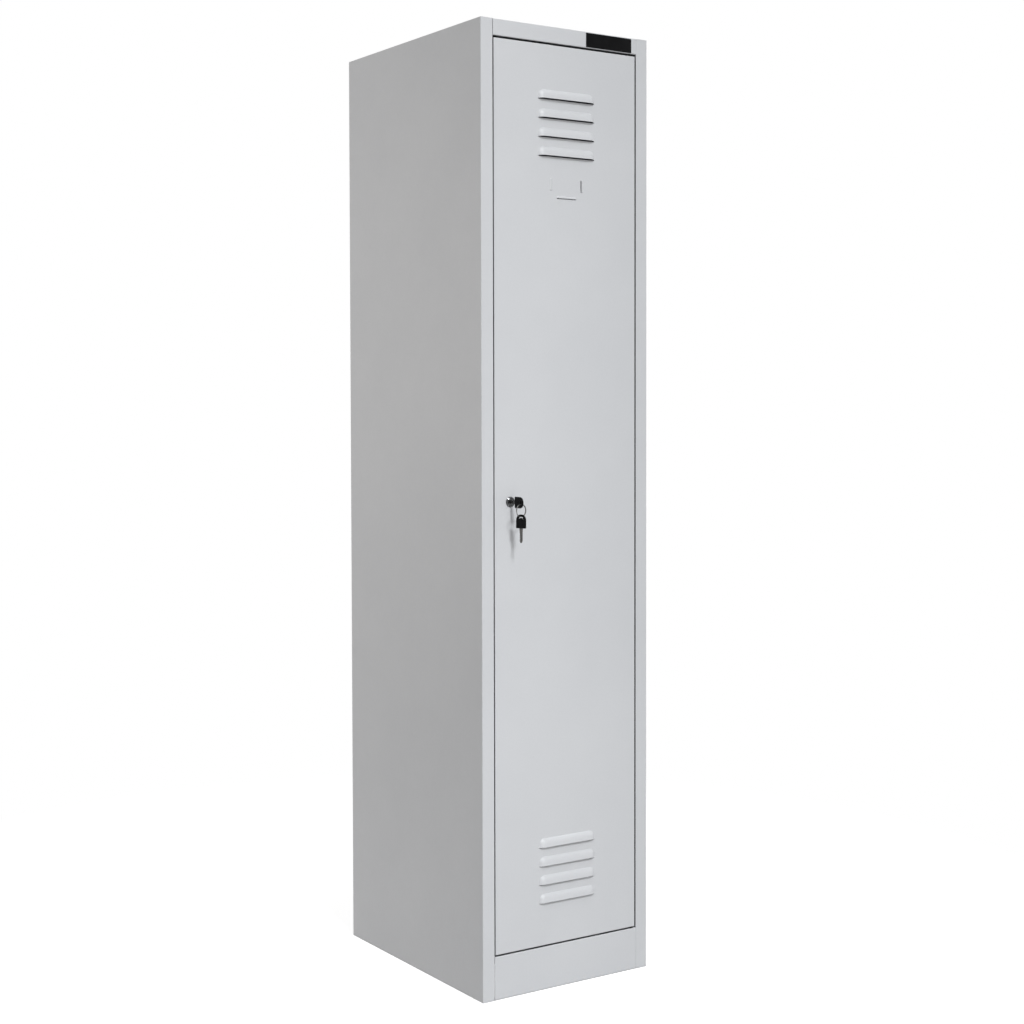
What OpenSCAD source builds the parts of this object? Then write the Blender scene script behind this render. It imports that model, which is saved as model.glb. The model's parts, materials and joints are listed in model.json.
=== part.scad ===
// Single-door steel locker cabinet: folded sheet carcass, inset pan door on pivot pins,
// cam lock with a key in it, hat shelf and hanging rail.
// Frame: origin on the floor, centred on the width, in the plane of the back.
// +X is to the right and +Z is up. The door faces -Y.

/* [Cabinet] */
// Overall height
height = 1800; // [1500:10:2000]
// Overall width
width = 380; // [340:5:500]
// Overall depth
depth = 500; // [400:10:600]
// Thickness of every folded sheet
sheet = 0.8; // [0.6:0.1:1.2]
// Inner radius of every bend
bend_in = 0.8; // [0.6:0.1:1.2]

/* [Front frame] */
// Face width of each stile
stile_w = 26; // [20:1:34]
// Face height of the header above the door
header_h = 30; // [26:1:60]
// Face height of the plinth below the door
plinth_h = 81; // [60:1:120]
// Depth of the returns behind the front face
frame_return = 22; // [21:0.5:28]
// Width of the lips that the door closes on
stop_lip = 12; // [10:0.5:16]
// Depth of the flange that the plinth stands on
plinth_foot = 15; // [10:1:20]
// Seam between two sheets that lie in one plane
seam = 0.2; // [0.2:0.1:0.6]

/* [Back] */
// Width of the flanges that the back panel is riveted to
rear_flange = 15; // [12:1:20]
// How far the back panel stops short of each side
back_margin = 1; // [0.5:0.5:3]
// Diameter of the wall fixing holes
fixing_d = 9; // [6:0.5:11]
// Spacing of the wall fixing holes
fixing_spacing = 240; // [150:10:260]
// Drop of the wall fixing holes below the top
fixing_drop = 60; // [40:5:120]
// Shank diameter of the back rivets
rivet_d = 4; // [3:0.2:4.8]
// Rivets up each side of the back
rivets_per_side = 5; // [3:1:7]
// Rivets along the top of the back
rivets_along_top = 3; // [2:1:5]

/* [Inside] */
// Drop of the hat shelf below the top
shelf_drop = 300; // [250:10:400]
// Height of the flanges round the floor, the shelf and the top
tray_flange = 20; // [16:1:30]
// Set-back of the hat shelf behind the door stop
shelf_setback = 30; // [10:5:60]
// Gap between the hat shelf and what is beside it
shelf_gap = 1; // [0.5:0.1:2]
// Thickness of the shelf clips
clip_t = 1.5; // [1:0.1:2]
// Length of a shelf clip along the side
clip_l = 25; // [20:1:40]
// Distance of the shelf clips from the ends of the shelf
clip_inset = 40; // [30:5:80]
// Outer diameter of the hanging rail
rail_d = 20; // [16:1:25]
// Wall of the hanging rail
rail_wall = 1.2; // [1:0.1:2]
// Drop of the hanging rail below the hat shelf
rail_drop = 70; // [60:5:120]
// Diameter of the rail sockets' base
socket_d = 44; // [38:1:56]
// Thickness of the rail sockets' base
socket_t = 2; // [1.5:0.1:3]
// Length of the collar that holds the rail
collar_l = 12; // [8:1:20]
// Wall of the collar that holds the rail
collar_wall = 2.4; // [2:0.1:3]
// Distance of each coat hook from the middle
hook_x = 60; // [40:5:80]
// Wire diameter of the coat hooks
hook_wire = 4; // [3:0.2:4.6]
// Length of a coat hook's stem
hook_stem = 18; // [14:1:30]
// Bend radius of the coat hooks, to the middle of the wire
hook_bend = 12; // [9:0.5:16]

/* [Door] */
// Gap between door and frame on the lock side
lock_gap = 2; // [1.5:0.1:3]
// Gap between door and frame on the hinge side
hinge_gap = 3; // [2.6:0.1:4]
// Gap above the door
top_gap = 4; // [3:0.1:5]
// Gap below the door
bottom_gap = 3; // [2.8:0.1:4]
// Depth of the door pan
pan_depth = 18; // [16:0.5:20]
// Width of the lips round the back of the door pan
door_lip = 12; // [9:0.5:12]
// Crown width of the stiffener behind the door
stiffener_w = 40; // [30:1:60]
// Depth of the stiffener behind the door
stiffener_d = 14; // [10:0.5:15]
// Width of the stiffener's flanges
stiffener_flange = 15; // [10:1:20]
// Distance of the stiffener's foot above the lower louvres
stiffener_rise = 60; // [30:5:150]
// Distance of the stiffener's top below the card holder
stiffener_drop = 30; // [10:5:100]

/* [Louvres] */
// Louvres in each group
louvre_count = 4; // [2:1:6]
// Spacing of the louvres
louvre_pitch = 35; // [28:1:45]
// Width of a louvre
louvre_w = 124; // [80:2:150]
// Height of a louvre
louvre_h = 17; // [14:0.5:20]
// Height that a louvre is pressed out to round its rim
louvre_rise = 3.5; // [3:0.25:5]
// Plan radius of a louvre's corners, also the run of its flanks
louvre_corner = 10; // [8:0.5:12]
// Slope of a louvre's face, which opens its lower edge
louvre_tilt = 9; // [4:0.5:12]
// Width of the slit along a louvre's lower edge
louvre_slit = 0.8; // [0.4:0.1:1.2]
// Drop of the upper group's first mouth below the door's top
upper_group_drop = 100; // [70:5:160]
// Height of the lower group's last mouth above the door's foot
lower_group_rise = 81; // [60:1:160]

/* [Card holder] */
// Width between the side lances
card_w = 68; // [50:0.5:90]
// Length of a side lance
side_lance = 24; // [16:1:34]
// Length of the bottom lance
bottom_lance = 45; // [20:1:60]
// Drop of the side lances' top below the door's top
card_drop = 245; // [230:1:300]
// Drop from the side lances' foot to the bottom lance
card_foot_drop = 8.5; // [5:0.5:15]
// Width of a lance
lance_w = 4.2; // [3.6:0.1:6]
// Height that a lance is pressed out
lance_rise = 1.5; // [1.2:0.1:2]
// Width of the slit beside a lance
slit_w = 1.2; // [0.8:0.1:2]

/* [Pivots] */
// Diameter of the pivot pins
pin_d = 6; // [5:0.5:7]
// Distance of the pivots from the door's hinge edge
pin_inset = 8; // [7:0.5:10]
// Distance of the pivots behind the front face
pin_setback = 6; // [5.5:0.5:7]
// Radial running clearance of a pin in its bush
running = 0.03; // [0.02:0.01:0.08]
// Wall of a pivot bush
bush_wall = 1.5; // [1:0.1:2]
// Thickness of a bush's flange
bush_flange = 1.5; // [1:0.1:1.6]
// How far a bush's flange stands out round its wall
bush_rim = 0.9; // [0.6:0.1:1.2]
// Thickness of the brackets that hold the bushes
bracket_t = 2; // [1.5:0.1:3]
// Width of the brackets along the door
bracket_w = 34; // [26:1:44]
// Height of the brackets' upright leg
bracket_h = 40; // [25:1:60]
// Gap between the lower bush and the collar under it
thrust_gap = 0.2; // [0.1:0.05:0.3]

/* [Lock] */
// Height of the lock above the floor
lock_z = 921; // [700:1:1200]
// Distance of the lock from the door's lock edge
lock_inset = 34; // [30:1:50]
// Diameter of the lock's bezel
bezel_d = 19; // [18:0.5:24]
// Thickness of the lock's bezel
bezel_t = 3; // [2:0.25:4]
// Width of the bevel round the bezel
bezel_bevel = 2.2; // [1:0.1:2.6]
// Slope of that bevel in degrees
bezel_slope = 32; // [20:1:36]
// Diameter of the lock's barrel
barrel_d = 16; // [15:0.5:17]
// Diameter of the turning plug
plug_d = 12; // [11:0.5:12.5]
// Width across the flats of the lock nut
nut_af = 22; // [20:0.5:24]
// Thickness of the lock nut
nut_t = 5; // [4:0.5:6]
// Thickness of the cam
cam_t = 2; // [1.5:0.1:3]
// Width of the cam
cam_w = 16; // [14:0.5:18]
// Reach of the cam from the lock's axis
cam_reach = 46; // [40:1:52]
// Running gap between the cam and the door stop
cam_gap = 1.5; // [1.2:0.1:3]
// Thread diameter of the cam screw
cam_screw_d = 4; // [3:0.2:5]

/* [Keys] */
// Width of a key's bow
bow_w = 20.8; // [20:0.2:26]
// Length of a key's bow
bow_l = 25.5; // [24:0.5:32]
// Thickness of a key's bow
bow_t = 3.2; // [2.6:0.1:4]
// Radius of the half-round hole in a bow
bow_hole_r = 4.4; // [4.2:0.1:5.4]
// Distance of the hole's centre from the bow's round end
bow_hole_in = 7.6; // [7.5:0.1:9]
// Length of a blade outside its bow
blade_l = 26.5; // [22:0.5:32]
// Height of a blade at its root
blade_h = 7; // [6:0.1:7.4]
// Thickness of a blade
blade_t = 2; // [1.6:0.1:2.2]
// Distance from the door's face to the round end of the key's bow
key_out = 42; // [40:0.5:48]
// Mean diameter of the key ring
ring_d = 22.5; // [20:0.5:28]
// Wire diameter of the key ring
ring_wire = 1.6; // [1.2:0.1:1.8]
// Turn of the key ring about the vertical
ring_yaw = 8; // [0:1:20]
// Turn of the spare key about the vertical
spare_yaw = -68; // [-80:1:-60]

/* [Hidden] */
$fn = 48;

paint = "gainsboro";
steel = "silver";
black_plastic = [0.1, 0.1, 0.11];

// Cutters run this far past what they cut.
over = 1;
// Ends of folds stop this far short of a corner.
bend_out = bend_in + sheet;
relief = bend_out + seam;

// Front frame
opening_w = width - 2 * stile_w;
opening_top = height - header_h;
stop_y = -depth + frame_return;
stop_back_y = stop_y + sheet;
inner_w = width - 2 * sheet;

// Back
rivet_clear = 0.05;
rivet_head_r = rivet_d;
rivet_head_h = 1;
rivet_tail_r = 0.75 * rivet_d;
rivet_tail_h = 1;
rivet_end = 60;

// Inside
shelf_z = height - shelf_drop;
shelf_front = stop_back_y + shelf_setback;
shelf_back = -2 * sheet - shelf_gap;
shelf_w = inner_w - 2 * shelf_gap;
clip_z = shelf_z - tray_flange;
clip_leg = 14;
clip_drop = 18;
rail_z = shelf_z - rail_drop;
rail_y = -depth / 2;
rail_l = inner_w - 2 * socket_t;
rail_fit = 0.1;
hook_play = 0.3;
hook_eye_r = rail_d / 2 + hook_wire / 2 + 2 * hook_play;
hook_eye_z = rail_z - hook_play;
hook_tip = 6;
hook_ball_d = 1.5 * hook_wire;

// Door
door_left = -opening_w / 2 + lock_gap;
door_right = opening_w / 2 - hinge_gap;
door_foot = plinth_h + bottom_gap;
door_top = opening_top - top_gap;
door_mid = (door_left + door_right) / 2;
door_back_y = -depth + pan_depth;
lance_root = 1.5 * sheet;
louvre_root = louvre_h * sin(louvre_tilt) + 1.5 * sheet;
louvre_span = (louvre_count - 1) * louvre_pitch;
upper_mouth_z = door_top - upper_group_drop;
lower_mouth_z = door_foot + lower_group_rise + louvre_span;
card_top = door_top - card_drop;
card_foot = card_top - side_lance;
lance_corner = 3;
stiffener_foot = lower_mouth_z + louvre_h + stiffener_rise;
stiffener_top = card_foot - card_foot_drop - stiffener_drop;
buffer_d = 7;
buffer_gap = 0.3;
buffer_stem_d = 4;
buffer_bulb_d = 6;
buffer_bulb_h = 1.5;
buffer_inset = 150;

// Pivots
pivot_x = door_right - pin_inset;
pivot_y = -depth + pin_setback;
pin_r = pin_d / 2;
bush_in_r = pin_r + running;
bush_r = bush_in_r + bush_wall;
bush_rim_r = bush_r + bush_rim;
bush_end = 1;
bush_h = bush_flange + sheet + bracket_t + bush_end;
collar_h = bottom_gap - bush_flange - thrust_gap;
pin_engage = 9;
pin_head_r = pin_setback - bend_out - seam;
pin_head_h = 2;
pin_hole_clear = 0.1;
pin_rivet_h = 1.5;

// Lock
lock_x = door_left + lock_inset;
cam_y = stop_back_y + cam_gap;
barrel_back_y = stop_back_y;
keyway_depth = 19;
keyway_w = blade_t + 0.4;
keyway_h = blade_h + 0.8;
screw_r = cam_screw_d / 2;
screw_clear = 0.05;
screw_depth = 5;
screw_head_r = 3.5;
screw_head_h = 2.2;
screw_slot_w = 1;
screw_slot_d = 0.9;
plug_lip = 0.4;

// Keys
key_root_y = -depth - key_out + bow_l;
tang_l = 6;
tip_l = 4;
tip_h = 4.4;
tip_bevel = 1;
neck_l = 7;
neck_h = 5.6;
tooth_count = 4;
tooth_pitch = 3.6;
tooth_depth = 1.1;
hole_bump_r = 2.8;
hole_bump_drop = 1.3;
ring_play = 0.35;
ring_x = lock_x;
ring_seat_r = bow_hole_r - ring_wire / 2 - ring_play;
ring_seat_angle = 65;
ring_y = -depth - key_out + bow_hole_in - ring_seat_r * cos(ring_seat_angle);
ring_top_z = lock_z - ring_seat_r * sin(ring_seat_angle);
ring_z = ring_top_z - ring_d / 2;
ring_foot_z = ring_z - ring_d / 2;
spare_top_z = ring_foot_z + ring_wire / 2 + ring_play + bow_hole_in - bow_hole_r;
spare_root_z = spare_top_z - bow_l;

// ---- Sheet metal ----

// A quarter of a disc in the first quadrant.
module quarter_disc(r) {
    intersection() {
        circle(r);
        square(r);
    }
}

// The cross-section of one bend, in the first quadrant.
module bend() {
    difference() {
        quarter_disc(bend_out);
        circle(bend_in);
    }
}

// How much of a leg a bend takes: turns of 1 are towards the sheet, turns of -1 away from it.
function allowance(turn) = turn == 0 ? 0 : turn > 0 ? bend_out : bend_in;

// Section of a folded sheet. It starts at the origin along +X with the sheet on its left.
// Each leg is [length from corner to corner, turn at its end].
module folded(legs, i = 0) {
    turn = legs[i][1];
    before = i == 0 ? 0 : allowance(legs[i - 1][1]);
    run = legs[i][0] - before - allowance(turn);
    square([run, sheet]);
    if (turn > 0) {
        translate([run, bend_out]) rotate(-90) bend();
        translate([run + bend_out, bend_out]) rotate(90) folded(legs, i + 1);
    }
    if (turn < 0) {
        translate([run, -bend_in]) bend();
        translate([run + bend_in, -bend_in]) rotate(-90) folded(legs, i + 1);
    }
}

// Extrudes a section drawn in X and Z along Y, from y0 to y1.
module along_y(y0, y1) {
    translate([0, y1, 0]) rotate([90, 0, 0]) linear_extrude(y1 - y0) children();
}

// Extrudes a section drawn in Y and Z along X, from x0 to x1.
module along_x(x0, x1) {
    translate([x0, 0, 0]) rotate([90, 0, 90]) linear_extrude(x1 - x0) children();
}

// A box between two corners.
module span(low, high) {
    translate(low) cube(high - low);
}

// A cylinder along Y from y0 to y1.
module rod_y(r, x, z, y0, y1) {
    translate([x, y1, z]) rotate([90, 0, 0]) cylinder(r = r, h = y1 - y0);
}

// A cylinder along Z from z0 to z1.
module rod_z(r, x, y, z0, z1) {
    translate([x, y, z0]) cylinder(r = r, h = z1 - z0);
}

// The fold shared by the sides and the top: rear flange, wall, face, return and door stop.
module frame_fold(face) {
    folded([[rear_flange, 1], [depth - sheet, 1], [face, 1], [frame_return, -1], [stop_lip, 0]]);
}

// The fold of a tray with its rim down: flange, plate, flange, with its plate's top at z = top.
module tray_fold(low, high, top) {
    translate([high, top - tray_flange]) rotate(90)
        folded([[tray_flange, 1], [high - low, 1], [tray_flange, 0]]);
}

// A tray with its rim down and open corners. Its end flanges stop short by notch at each side.
module tray(w, y0, y1, top, notch) {
    along_y(y0 + relief, y1 - relief) tray_fold(-w / 2, w / 2, top);
    along_x(-w / 2 + notch, w / 2 - notch) tray_fold(y0, y1, top);
}

// Clears the corners where the header's and plinth's returns meet the stiles' lips.
module stop_notches(z0, z1) {
    for (side = [-1, 1])
        translate([side * opening_w / 2, 0, 0])
            span([-stop_lip - seam, stop_y - sheet - seam, z0], [stop_lip + seam, stop_y + rear_flange, z1]);
}

// Heights of the rivets up each side of the back.
rivet_z = [for (i = [0 : rivets_per_side - 1])
    rivet_end + i * (height - 2 * rivet_end) / (rivets_per_side - 1)];
rivet_x = width / 2 - rear_flange / 2;
top_rivet_z = height - rear_flange / 2;
top_rivet_x = [for (i = [0 : rivets_along_top - 1])
    (i - (rivets_along_top - 1) / 2) * inner_w / (rivets_along_top + 1)];

// Places its children at every rivet of the back.
module at_rivets() {
    for (side = [-1, 1])
        for (z = rivet_z)
            translate([side * rivet_x, 0, z]) children();
    for (x = top_rivet_x)
        translate([x, 0, top_rivet_z]) children();
}

module rivet_holes() {
    at_rivets() rod_y(rivet_d / 2 + rivet_clear, 0, 0, -2 * sheet - over, over);
}

// ---- Carcass ----

// The left side: wall, stile and rear flange folded from one sheet.
module side_sheet() {
    difference() {
        linear_extrude(height)
            translate([-width / 2 + rear_flange, -sheet]) rotate(180) frame_fold(stile_w);
        // the return and lip stop under the top panel
        span([-opening_w / 2 - bend_out, -depth + sheet, height - sheet - seam],
             [-opening_w / 2 + stop_lip + over, stop_back_y + over, height + over]);
        rivet_holes();
    }
}

module left_side_panel() {
    color(paint) difference() {
        side_sheet();
        buffer_holes();
    }
}

module right_side_panel() {
    color(paint) mirror([1, 0, 0]) side_sheet();
}

module back_panel() {
    color(paint) difference() {
        span([-width / 2 + back_margin, -sheet, 0], [width / 2 - back_margin, 0, height]);
        rivet_holes();
        for (side = [-1, 1])
            rod_y(fixing_d / 2, side * fixing_spacing / 2, height - fixing_drop, -sheet - over, over);
    }
}

module top_panel() {
    color(paint) difference() {
        union() {
            along_x(-opening_w / 2 + seam, opening_w / 2 - seam)
                translate([-sheet, height - rear_flange]) rotate(90) frame_fold(header_h);
            along_y(-depth + relief, -sheet - relief) tray_fold(-inner_w / 2, inner_w / 2, height);
        }
        stop_notches(opening_top - stop_lip - over, opening_top + sheet + over);
        rivet_holes();
        rod_z(pin_r + pin_hole_clear, pivot_x, pivot_y, opening_top - over, opening_top + sheet + over);
    }
}

module plinth_panel() {
    color(paint) difference() {
        along_x(-opening_w / 2 + seam, opening_w / 2 - seam)
            translate([stop_y, plinth_h + stop_lip]) rotate(-90)
                folded([[stop_lip, -1], [frame_return, 1], [plinth_h, 1], [plinth_foot, 0]]);
        stop_notches(plinth_h - sheet - over, plinth_h + stop_lip + over);
        rod_z(pin_r + pin_hole_clear, pivot_x, pivot_y, plinth_h - sheet - over, plinth_h + over);
    }
}

module floor_panel() {
    color(paint) tray(inner_w, stop_back_y, -sheet, plinth_h, rear_flange + seam);
}

module hat_shelf() {
    color(paint) tray(shelf_w, shelf_front, shelf_back, shelf_z, relief);
}

// Angle clips on the side walls, under the hat shelf's rim.
module shelf_clips() {
    color(paint)
        for (side = [0, 1])
            for (y = [shelf_front + clip_inset, shelf_back - clip_inset - clip_l])
                mirror([side, 0, 0])
                    translate([-inner_w / 2, y, clip_z]) {
                        span([0, 0, -clip_drop], [clip_t, clip_l, 0]);
                        span([clip_t, 0, -clip_t], [clip_leg, clip_l, 0]);
                    }
}

module hanging_rail() {
    color(steel) along_x(-rail_l / 2, rail_l / 2)
        translate([rail_y, rail_z]) difference() {
            circle(rail_d / 2);
            circle(rail_d / 2 - rail_wall);
        }
}

// A base on the side wall with a collar round the rail's end.
module rail_socket() {
    collar_in_r = rail_d / 2 + rail_fit;
    translate([-inner_w / 2, rail_y, rail_z]) rotate([0, 90, 0]) {
        cylinder(d = socket_d, h = socket_t);
        translate([0, 0, socket_t]) difference() {
            cylinder(r = collar_in_r + collar_wall, h = collar_l);
            translate([0, 0, -over]) cylinder(r = collar_in_r, h = collar_l + 2 * over);
        }
    }
}

module rail_socket_left() {
    color(black_plastic) rail_socket();
}

module rail_socket_right() {
    color(black_plastic) mirror([1, 0, 0]) rail_socket();
}

// Wire bent round a centre in the Y and Z plane, from one angle through a sweep.
module wire_arc(r, wire, from, sweep) {
    rotate([0, 90, 0]) rotate([0, 0, from]) rotate_extrude(angle = sweep) translate([r, 0]) circle(wire / 2);
}

// A wire coat hook that hangs and slides on the rail.
module coat_hook(x) {
    stem_top = -hook_eye_r;
    stem_foot = stem_top - hook_stem;
    translate([x, rail_y, hook_eye_z]) {
        wire_arc(hook_eye_r, hook_wire, 0, 360);
        translate([0, 0, stem_foot]) cylinder(d = hook_wire, h = hook_stem);
        translate([0, -hook_bend, stem_foot]) wire_arc(hook_bend, hook_wire, -90, 180);
        translate([0, -2 * hook_bend, stem_foot]) {
            cylinder(d = hook_wire, h = hook_tip);
            translate([0, 0, hook_tip]) sphere(d = hook_ball_d);
        }
    }
}

module coat_hook_left() {
    color(steel) coat_hook(-hook_x);
}

module coat_hook_right() {
    color(steel) coat_hook(hook_x);
}

// Domed rivets through the back panel and the flanges in front of it.
module back_rivets() {
    color(paint) at_rivets() {
        rod_y(rivet_head_r, 0, 0, 0, rivet_head_h);
        rod_y(rivet_d / 2, 0, 0, -2 * sheet, 0);
        rod_y(rivet_tail_r, 0, 0, -2 * sheet - rivet_tail_h, -2 * sheet);
    }
}

// ---- Pivots ----

// Headed pin dropped through the header's return into the upper bush.
module upper_pivot_pin() {
    color(steel) {
        rod_z(pin_r, pivot_x, pivot_y, door_top - pin_engage, opening_top + sheet);
        rod_z(pin_head_r, pivot_x, pivot_y, opening_top + sheet, opening_top + sheet + pin_head_h);
    }
}

// Pin riveted to the plinth's return, with a collar that the lower bush turns on.
module lower_pivot_pin() {
    color(steel) {
        rod_z(pin_r, pivot_x, pivot_y, plinth_h - sheet, door_foot + pin_engage);
        rod_z(bush_rim_r, pivot_x, pivot_y, plinth_h, plinth_h + collar_h);
        rod_z(pin_head_r, pivot_x, pivot_y, plinth_h - sheet - pin_rivet_h, plinth_h - sheet);
    }
}

// Flanged nylon bush, its flange outside the pan and its sleeve inside, standing on z = 0.
module pivot_bush() {
    difference() {
        union() {
            cylinder(r = bush_rim_r, h = bush_flange);
            cylinder(r = bush_r, h = bush_h);
        }
        translate([0, 0, -over]) cylinder(r = bush_in_r, h = bush_h + 2 * over);
    }
}

module lower_pivot_bush() {
    color("white") translate([pivot_x, pivot_y, door_foot - bush_flange]) pivot_bush();
}

module upper_pivot_bush() {
    color("white") translate([pivot_x, pivot_y, door_top + bush_flange]) mirror([0, 0, 1]) pivot_bush();
}

// Plate inside the foot of the pan that stiffens it round the bush, with a leg up its edge.
module lower_bracket_form() {
    right = door_right - sheet;
    front = -depth + sheet;
    back = door_back_y - sheet;
    foot = door_foot + sheet;
    difference() {
        union() {
            span([right - bracket_w, front, foot], [right - bend_in, back - bend_in, foot + bracket_t]);
            span([right - bracket_t, front + bend_in, foot + bend_in],
                 [right, back - bend_in, foot + bracket_h]);
        }
        span([right - bracket_w - over, front - over, foot - over],
             [right + over, front + bend_in, foot + bend_in]);
        rod_z(bush_r, pivot_x, pivot_y, foot - over, foot + bracket_t + over);
    }
}

module lower_hinge_bracket() {
    color(steel) lower_bracket_form();
}

module upper_hinge_bracket() {
    color(steel) translate([0, 0, door_foot + door_top]) mirror([0, 0, 1]) lower_bracket_form();
}

// Places its children at the buffers on the lock stile's lip.
module at_buffers() {
    for (z = [door_foot + buffer_inset, door_top - buffer_inset])
        translate([-opening_w / 2 + stop_lip / 2 + sheet / 2, 0, z]) children();
}

module buffer_holes() {
    at_buffers() rod_y(buffer_stem_d / 2, 0, 0, stop_y - over, stop_back_y + over);
}

// Rubber buttons pushed through the lip, which the door closes on.
module door_buffers() {
    color(black_plastic) at_buffers() {
        rod_y(buffer_d / 2, 0, 0, door_back_y + buffer_gap, stop_y);
        rod_y(buffer_stem_d / 2, 0, 0, stop_y, stop_back_y);
        rod_y(buffer_bulb_d / 2, 0, 0, stop_back_y, stop_back_y + buffer_bulb_h);
    }
}

// ---- Door ----

// Rectangle with round corners, from exact quarter discs and bars that share their edges.
module round_rect(low, high, r) {
    size = high - low;
    translate(low) {
        translate([r, 0]) square([size[0] - 2 * r, size[1]]);
        translate([0, r]) square([r, size[1] - 2 * r]);
        translate([size[0] - r, r]) square([r, size[1] - 2 * r]);
        translate([r, r]) rotate(180) quarter_disc(r);
        translate([size[0] - r, r]) rotate(270) quarter_disc(r);
        translate([size[0] - r, size[1] - r]) quarter_disc(r);
        translate([r, size[1] - r]) rotate(90) quarter_disc(r);
    }
}

// A box whose edges along X and Z are round, as a folded pan's are.
module pan_block(inset, r) {
    x0 = door_left + inset;
    x1 = door_right - inset;
    y0 = -depth + inset;
    y1 = door_back_y - inset;
    z0 = door_foot + inset;
    z1 = door_top - inset;
    intersection() {
        translate([0, 0, z0]) linear_extrude(z1 - z0) round_rect([x0, y0], [x1, y1], r);
        along_x(x0, x1) round_rect([y0, z0], [y1, z1], r);
    }
}

// Radius of the arc that a pressing's rim falls along, from level to the sheet.
function arc_r(rise, corner) = (corner * corner + rise * rise) / (2 * rise);

// Section of a pressing's flank. It starts level over the origin, falls along the arc and
// ends below the sheet at -root. A larger inset gives the inside of the same pressing.
module flank(rise, corner, inset, root) {
    intersection() {
        translate([0, rise - arc_r(rise, corner)]) circle(arc_r(rise, corner) - inset);
        translate([0, -root]) square([2 * corner, rise + root + over]);
    }
}

// The ball-shaped corner between two flanks. The sphere's poles lie well away from it.
module flank_corner(rise, corner, inset, root) {
    intersection() {
        translate([0, 0, rise - arc_r(rise, corner)]) rotate([0, 90, 0]) sphere(arc_r(rise, corner) - inset);
        translate([0, 0, -root]) cube([2 * corner, 2 * corner, rise + root + over]);
    }
}

// Half-bullet pressing with its mouth at y = -h. It is raised along +Z and centred on x = 0.
module pressing(w, h, rise, corner, inset, root, past) {
    half = w / 2 - corner;
    translate([-half, -corner, 0]) rotate([90, 0, 90]) linear_extrude(2 * half)
        flank(rise, corner, inset, root);
    for (side = [0, 1])
        mirror([side, 0, 0]) translate([half, -corner, 0]) {
            rotate([90, 0, 0]) linear_extrude(h + past - corner) flank(rise, corner, inset, root);
            flank_corner(rise, corner, inset, root);
        }
    span([-half, -h - past, -root], [half, -corner, rise - inset]);
}

// Sends a drawing with +Z outwards to the door's face.
module on_door(x, z) {
    translate([x, -depth, z]) rotate([90, 0, 0]) children();
}

// The part of a pressing that stands in front of the sheet's back.
module raised(w, h, rise, corner, root, tilt) {
    intersection() {
        rotate([-tilt, 0, 0]) pressing(w, h, rise, corner, 0, root, 0);
        span([-w, -2 * h, -sheet], [w, h, h]);
    }
}

module at_louvres() {
    for (first = [upper_mouth_z, lower_mouth_z])
        for (i = [0 : louvre_count - 1])
            on_door(door_mid, first - i * louvre_pitch + louvre_h) children();
}

// Places its children at the side lances with their mouths towards the card.
module at_side_lances() {
    for (side = [-1, 1])
        on_door(door_mid + side * (card_w / 2 + lance_w), (card_top + card_foot) / 2)
            rotate([0, 0, -side * 90]) children();
}

// Places its children at the bottom lance, which carries the card on its closed side.
module at_bottom_lance() {
    on_door(door_mid, card_foot - card_foot_drop) children();
}

module lance_out(l) {
    raised(l, lance_w, lance_rise, lance_corner, lance_root, 0);
}

module lance_in(l) {
    pressing(l, lance_w, lance_rise, lance_corner, sheet, lance_root, slit_w);
}

module door_skin() {
    color(paint) difference() {
        union() {
            difference() {
                pan_block(0, bend_out);
                pan_block(sheet, bend_in);
            }
            at_louvres()
                raised(louvre_w, louvre_h, louvre_rise, louvre_corner, louvre_root, louvre_tilt);
            at_side_lances() lance_out(side_lance);
            at_bottom_lance() lance_out(bottom_lance);
        }
        // the back is open inside its lips
        span([door_left + door_lip, door_back_y - bend_out, door_foot + door_lip],
             [door_right - door_lip, door_back_y + over, door_top - door_lip]);
        at_louvres() rotate([-louvre_tilt, 0, 0])
            pressing(louvre_w, louvre_h, louvre_rise, louvre_corner, sheet, louvre_root, louvre_slit);
        at_side_lances() lance_in(side_lance);
        at_bottom_lance() lance_in(bottom_lance);
        rod_y(barrel_d / 2 + screw_clear, lock_x, lock_z, -depth - over, -depth + sheet + over);
        rod_z(bush_r, pivot_x, pivot_y, door_foot - over, door_foot + sheet + over);
        rod_z(bush_r, pivot_x, pivot_y, door_top - sheet - over, door_top + over);
    }
}

// Top-hat channel welded up the middle of the door, between the louvres and the card.
module door_stiffener() {
    legs = [[stiffener_flange, -1], [stiffener_d, 1], [stiffener_w, 1], [stiffener_d, -1],
            [stiffener_flange, 0]];
    half = stiffener_w / 2 + stiffener_flange;
    color(paint) translate([0, 0, stiffener_foot]) linear_extrude(stiffener_top - stiffener_foot)
        translate([door_mid + half, -depth + sheet + sheet]) rotate(180) folded(legs);
}

// ---- Lock ----

module lock_housing() {
    bevel_h = bezel_bevel * tan(bezel_slope);
    bevel_y = -depth - bezel_t + bevel_h;
    bore_r = plug_d / 2 + running;
    color(steel) difference() {
        union() {
            rod_y(bezel_d / 2, lock_x, lock_z, bevel_y, -depth);
            translate([lock_x, bevel_y, lock_z]) rotate([90, 0, 0])
                cylinder(r1 = bezel_d / 2, r2 = bezel_d / 2 - bezel_bevel, h = bevel_h);
            rod_y(barrel_d / 2, lock_x, lock_z, -depth, barrel_back_y);
        }
        rod_y(bore_r, lock_x, lock_z, -depth - bezel_t - over, barrel_back_y + over);
    }
}

module lock_nut() {
    color(steel) translate([lock_x, -depth + sheet + nut_t, lock_z]) rotate([90, 0, 0]) difference() {
        cylinder(d = nut_af / cos(30), h = nut_t, $fn = 6);
        translate([0, 0, -over]) cylinder(r = barrel_d / 2 + screw_clear, h = nut_t + 2 * over);
    }
}

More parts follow.
